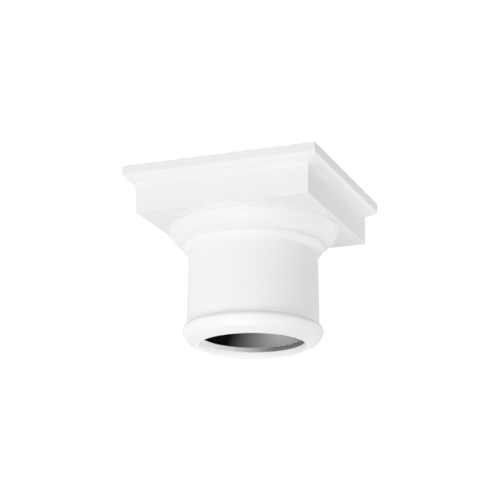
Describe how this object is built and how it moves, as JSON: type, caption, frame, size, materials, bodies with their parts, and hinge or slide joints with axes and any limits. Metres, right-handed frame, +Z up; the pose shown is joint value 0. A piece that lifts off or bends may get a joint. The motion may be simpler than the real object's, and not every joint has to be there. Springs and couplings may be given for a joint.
{
  "type": "column capital",
  "caption": "Smooth white Tuscan column capital with a square abacus, round ovolo, neck and astragal, hollow inside and open below.",
  "frame": {"origin": "centre of the underside, in the plane of the flat ring that the capital stands on", "axes": "+Z up along the axis of the column, X and Y square to the sides of the abacus"},
  "size_m": [0.34, 0.34, 0.284],
  "materials": {
    "white_moulding": "smooth satin white factory primer on rigid moulded foam"
  },
  "bodies": {
    "root": {"capital": "white_moulding"}
  },
  "joints": []
}
